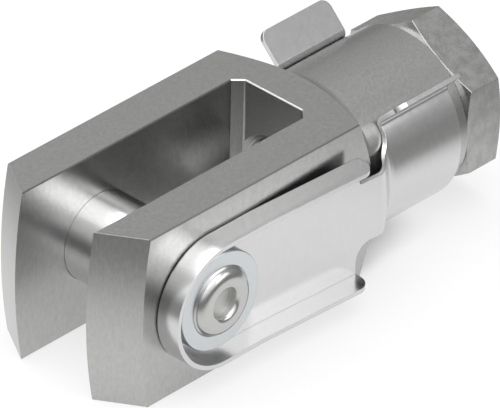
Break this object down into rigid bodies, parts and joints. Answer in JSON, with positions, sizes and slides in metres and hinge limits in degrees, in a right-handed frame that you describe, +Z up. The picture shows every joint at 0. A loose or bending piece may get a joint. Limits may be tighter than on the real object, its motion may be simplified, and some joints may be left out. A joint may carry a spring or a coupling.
{
  "type": "rod clevis with spring clip pin",
  "caption": "Forked rod end with a threaded neck, a cross pin held by a folded spring clip that snaps round the neck, and a thin hexagon lock nut.",
  "frame": {"origin": "on the clevis pin's axis, midway between the fork's two cheeks", "axes": "+X along the rod from the fork's open end to the thread; the pin lies along Y with the clip's plate on the -Y side; +Z up, the side on which the clip's wrap is open"},
  "size_m": [0.057, 0.0247, 0.02],
  "materials": {
    "fork_steel": "satin, fine mottled grain",
    "nut_steel": "satin, mottled grain",
    "pin_steel": "smooth satin",
    "washer_zinc": "zinc plated, satin",
    "clip_zinc": "zinc plated, satin"
  },
  "bodies": {
    "fork": {"fork_head": "fork_steel", "lock_nut": "nut_steel"},
    "clip": {"clevis_pin": "pin_steel", "rivet_washer": "washer_zinc", "spring_clip": "clip_zinc"}
  },
  "joints": [
    {"name": "clip_swing", "type": "hinge", "parent": "fork", "child": "clip", "pos_m": [0, 0, 0], "axis": [0, 1, 0], "range_deg": [0, 320], "deforming": ["spring_clip"]}
  ]
}
